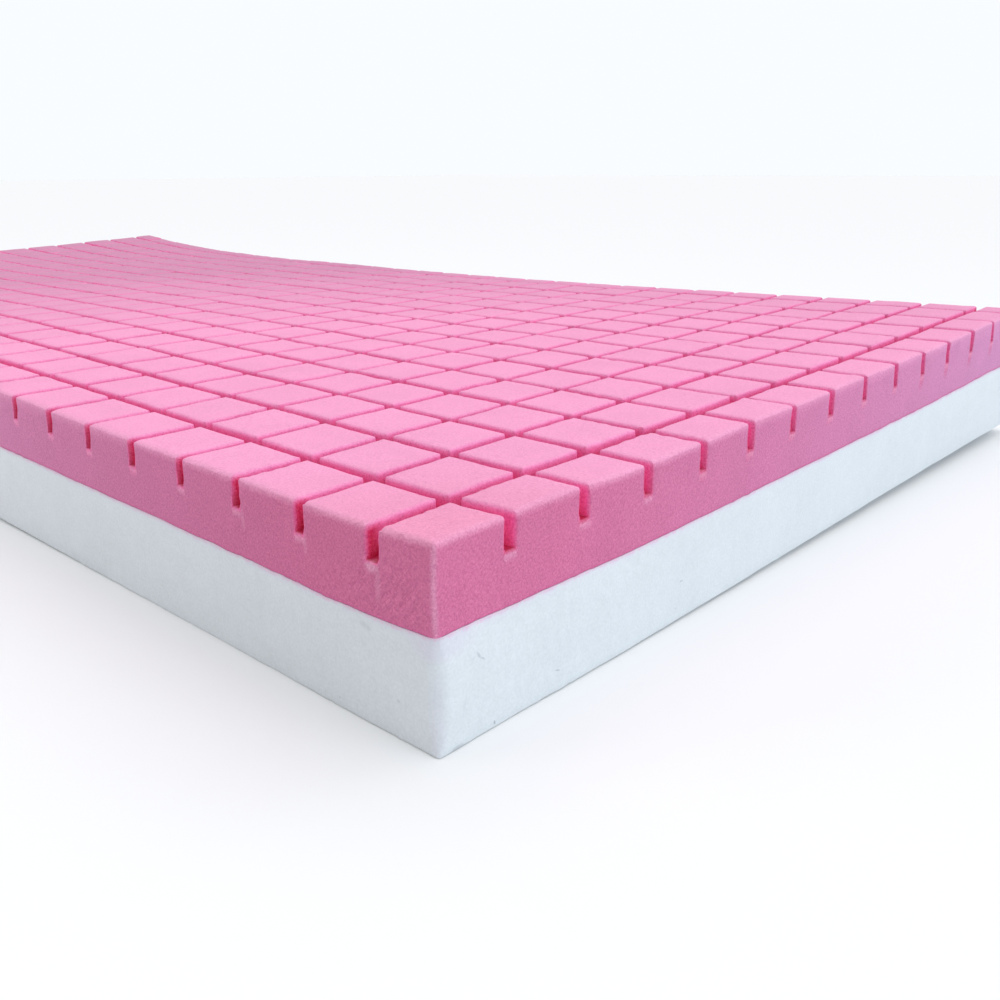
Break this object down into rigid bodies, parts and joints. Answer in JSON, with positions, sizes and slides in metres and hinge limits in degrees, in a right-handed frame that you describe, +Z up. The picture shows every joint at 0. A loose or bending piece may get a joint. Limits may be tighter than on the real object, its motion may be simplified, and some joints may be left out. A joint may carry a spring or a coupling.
{
  "type": "hospital bed mattress",
  "caption": "Bare foam mattress core for a hospital bed: a pink upper layer cross-cut into square blocks, glued on a plain white base layer.",
  "frame": {"origin": "middle of the bounding box at the underside, on the surface that the mattress lies on", "axes": "+X along the length towards the end whose blocks are cut shorter, +Y across the width towards the side whose corners curl up, +Z up through the block-cut face"},
  "size_m": [1.9, 0.9, 0.144],
  "materials": {
    "pink_foam": "matte open-cell polyurethane foam, pink, with a fine even grain and deeper pink inside the cuts",
    "white_foam": "matte open-cell polyurethane foam, cool white, with a fine grain and a few small nicks"
  },
  "bodies": {
    "root": {"top_layer": "pink_foam", "base_layer": "white_foam"}
  },
  "joints": []
}
